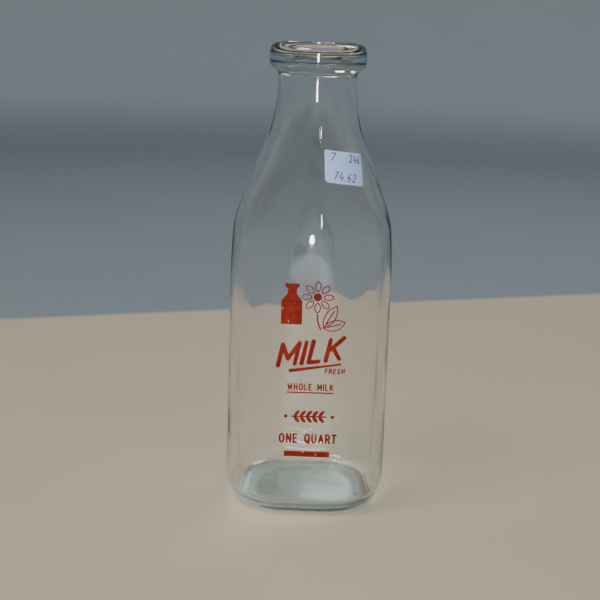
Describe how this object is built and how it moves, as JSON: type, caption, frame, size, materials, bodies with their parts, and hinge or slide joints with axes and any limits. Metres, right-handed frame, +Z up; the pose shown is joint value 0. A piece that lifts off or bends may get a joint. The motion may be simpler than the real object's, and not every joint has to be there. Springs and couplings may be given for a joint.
{
  "type": "glass milk bottle",
  "caption": "Tall square glass milk bottle with a round neck, beaded lip, sloping shoulder, thick base, orange fired enamel print and a small paper sticker.",
  "frame": {"origin": "middle of the base, on the surface that the bottle stands on", "axes": "+Z up through the mouth, the printed face looks along -Y, +X to the right of the print"},
  "size_m": [0.0906, 0.0907, 0.2603],
  "materials": {
    "clear_glass": "clear soda-lime glass, polished, very slightly green",
    "orange_enamel": "fired orange-red glass enamel, satin gloss",
    "white_paper": "matte self-adhesive paper label",
    "purple_ink": "ballpoint or gel pen ink"
  },
  "bodies": {
    "root": {"bottle_glass": "clear_glass", "enamel_churn": "orange_enamel", "enamel_petals": "orange_enamel", "enamel_flower_eye": "orange_enamel", "enamel_stem": "orange_enamel", "enamel_leaves": "orange_enamel", "enamel_big_word": "orange_enamel", "enamel_big_underline": "orange_enamel", "enamel_small_word": "orange_enamel", "enamel_middle_line": "orange_enamel", "enamel_middle_rule": "orange_enamel", "enamel_sprig": "orange_enamel", "enamel_marks": "orange_enamel", "enamel_capacity_line": "orange_enamel", "enamel_bar": "orange_enamel", "sticker_paper": "white_paper", "sticker_ink": "purple_ink"}
  },
  "joints": []
}
